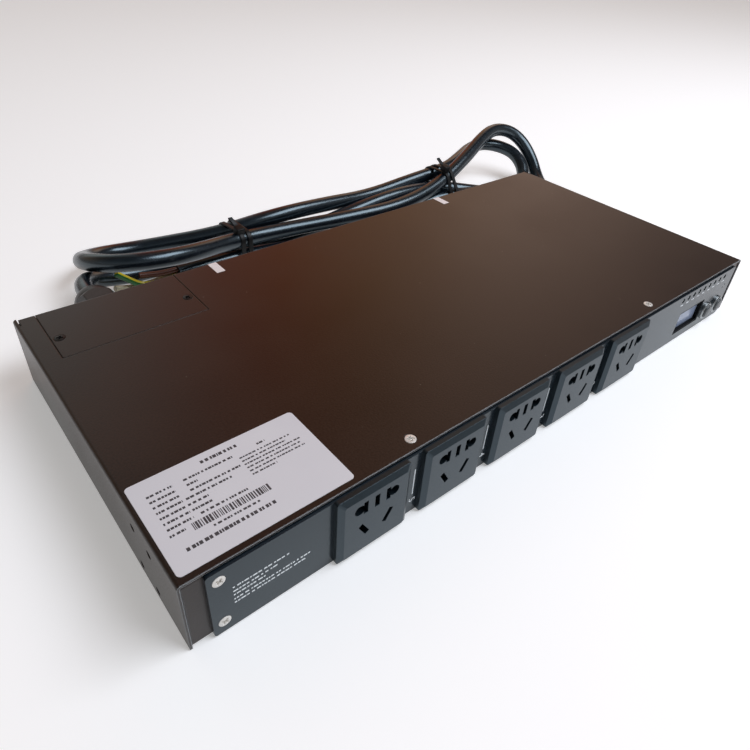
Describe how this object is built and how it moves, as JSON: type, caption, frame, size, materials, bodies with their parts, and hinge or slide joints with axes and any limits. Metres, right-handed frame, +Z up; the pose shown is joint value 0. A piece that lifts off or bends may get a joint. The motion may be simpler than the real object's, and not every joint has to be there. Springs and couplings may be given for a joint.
{
  "type": "smart power strip",
  "caption": "Rack-mount smart power strip in a black steel case, with a row of multi-pin socket outlets, a small display, push buttons and a tied mains lead.",
  "frame": {"origin": "middle of the width and of the whole depth without the lead, at the underside", "axes": "+X to the right seen from the front, +Y from the front to the back, +Z up"},
  "size_m": [0.5311, 0.3288, 0.0563],
  "materials": {
    "case_paint": "satin fine texture",
    "plate_paint": "satin",
    "socket_plastic": "fine matt",
    "contact_brass": "plain",
    "bar_copper": "plain",
    "board_green": "solder mask",
    "post_steel": "plain",
    "screw_steel": "bright zinc",
    "screw_black": "black oxide",
    "display_glass": "flat",
    "white_plastic": "plain",
    "lamp_lens": "clear lens",
    "black_plastic": "moulded",
    "button_nickel": "nickel plate",
    "cap_black": "polished",
    "relay_blue": "moulded",
    "ferrite": "coated",
    "seal_rubber": "plain",
    "lead_sheath": "glossy sheath",
    "core_brown": "plain",
    "core_pale": "plain",
    "core_earth": "striped",
    "label_film": "satin film",
    "seal_paper": "fragile paper"
  },
  "bodies": {
    "case": {"access_cover": "case_paint", "access_ledge": "case_paint", "access_screws": "screw_black", "bar_holders": "white_plastic", "board_posts": "post_steel", "bus_bars": "bar_copper", "button_1_bezel": "button_nickel", "button_2_bezel": "button_nickel", "button_nuts": "button_nickel", "button_switches": "black_plastic", "chassis_tray": "case_paint", "core_earth": "core_earth", "core_live": "core_brown", "core_neutral": "core_pale", "cover_screws": "screw_steel", "current_rings": "ferrite", "display_backlight": "black_plastic", "display_frame": "black_plastic", "display_glass": "display_glass", "ear_nuts": "screw_steel", "earth_stud": "screw_steel", "front_plate": "plate_paint", "gland_body": "black_plastic", "gland_locknut": "black_plastic", "gland_nut": "black_plastic", "gland_seal": "seal_rubber", "indicator_lamps": "lamp_lens", "inner_cores": "core_brown", "lamp_holder": "black_plastic", "lead_entry": "lead_sheath", "lead_hank": "lead_sheath", "lead_out": "lead_sheath", "lead_tail": "lead_sheath", "lead_tie_left": "black_plastic", "lead_tie_right": "black_plastic", "network_board": "board_green", "network_jack": "black_plastic", "panel_board": "board_green", "panel_posts": "post_steel", "plate_screws": "screw_steel", "rating_label": "label_film", "relay_board": "board_green", "relays": "relay_blue", "seal_strips": "seal_paper", "socket_1": "socket_plastic", "socket_1_contacts": "contact_brass", "socket_2": "socket_plastic", "socket_2_contacts": "contact_brass", "socket_3": "socket_plastic", "socket_3_contacts": "contact_brass", "socket_4": "socket_plastic", "socket_4_contacts": "contact_brass", "socket_5": "socket_plastic", "socket_5_contacts": "contact_brass", "supply_module": "black_plastic", "terminal_block": "black_plastic", "terminal_screws": "screw_steel", "top_cover": "case_paint"},
    "button_1": {"button_1_cap": "cap_black"},
    "button_2": {"button_2_cap": "cap_black"}
  },
  "joints": [
    {"name": "button_1_press", "type": "slide", "parent": "case", "child": "button_1", "axis": [0, 1, 0], "range_m": [0, 0.001], "stiffness_N_per_m": 900, "springref_m": -0.0006},
    {"name": "button_2_press", "type": "slide", "parent": "case", "child": "button_2", "axis": [0, 1, 0], "range_m": [0, 0.001], "stiffness_N_per_m": 900, "springref_m": -0.0006}
  ]
}
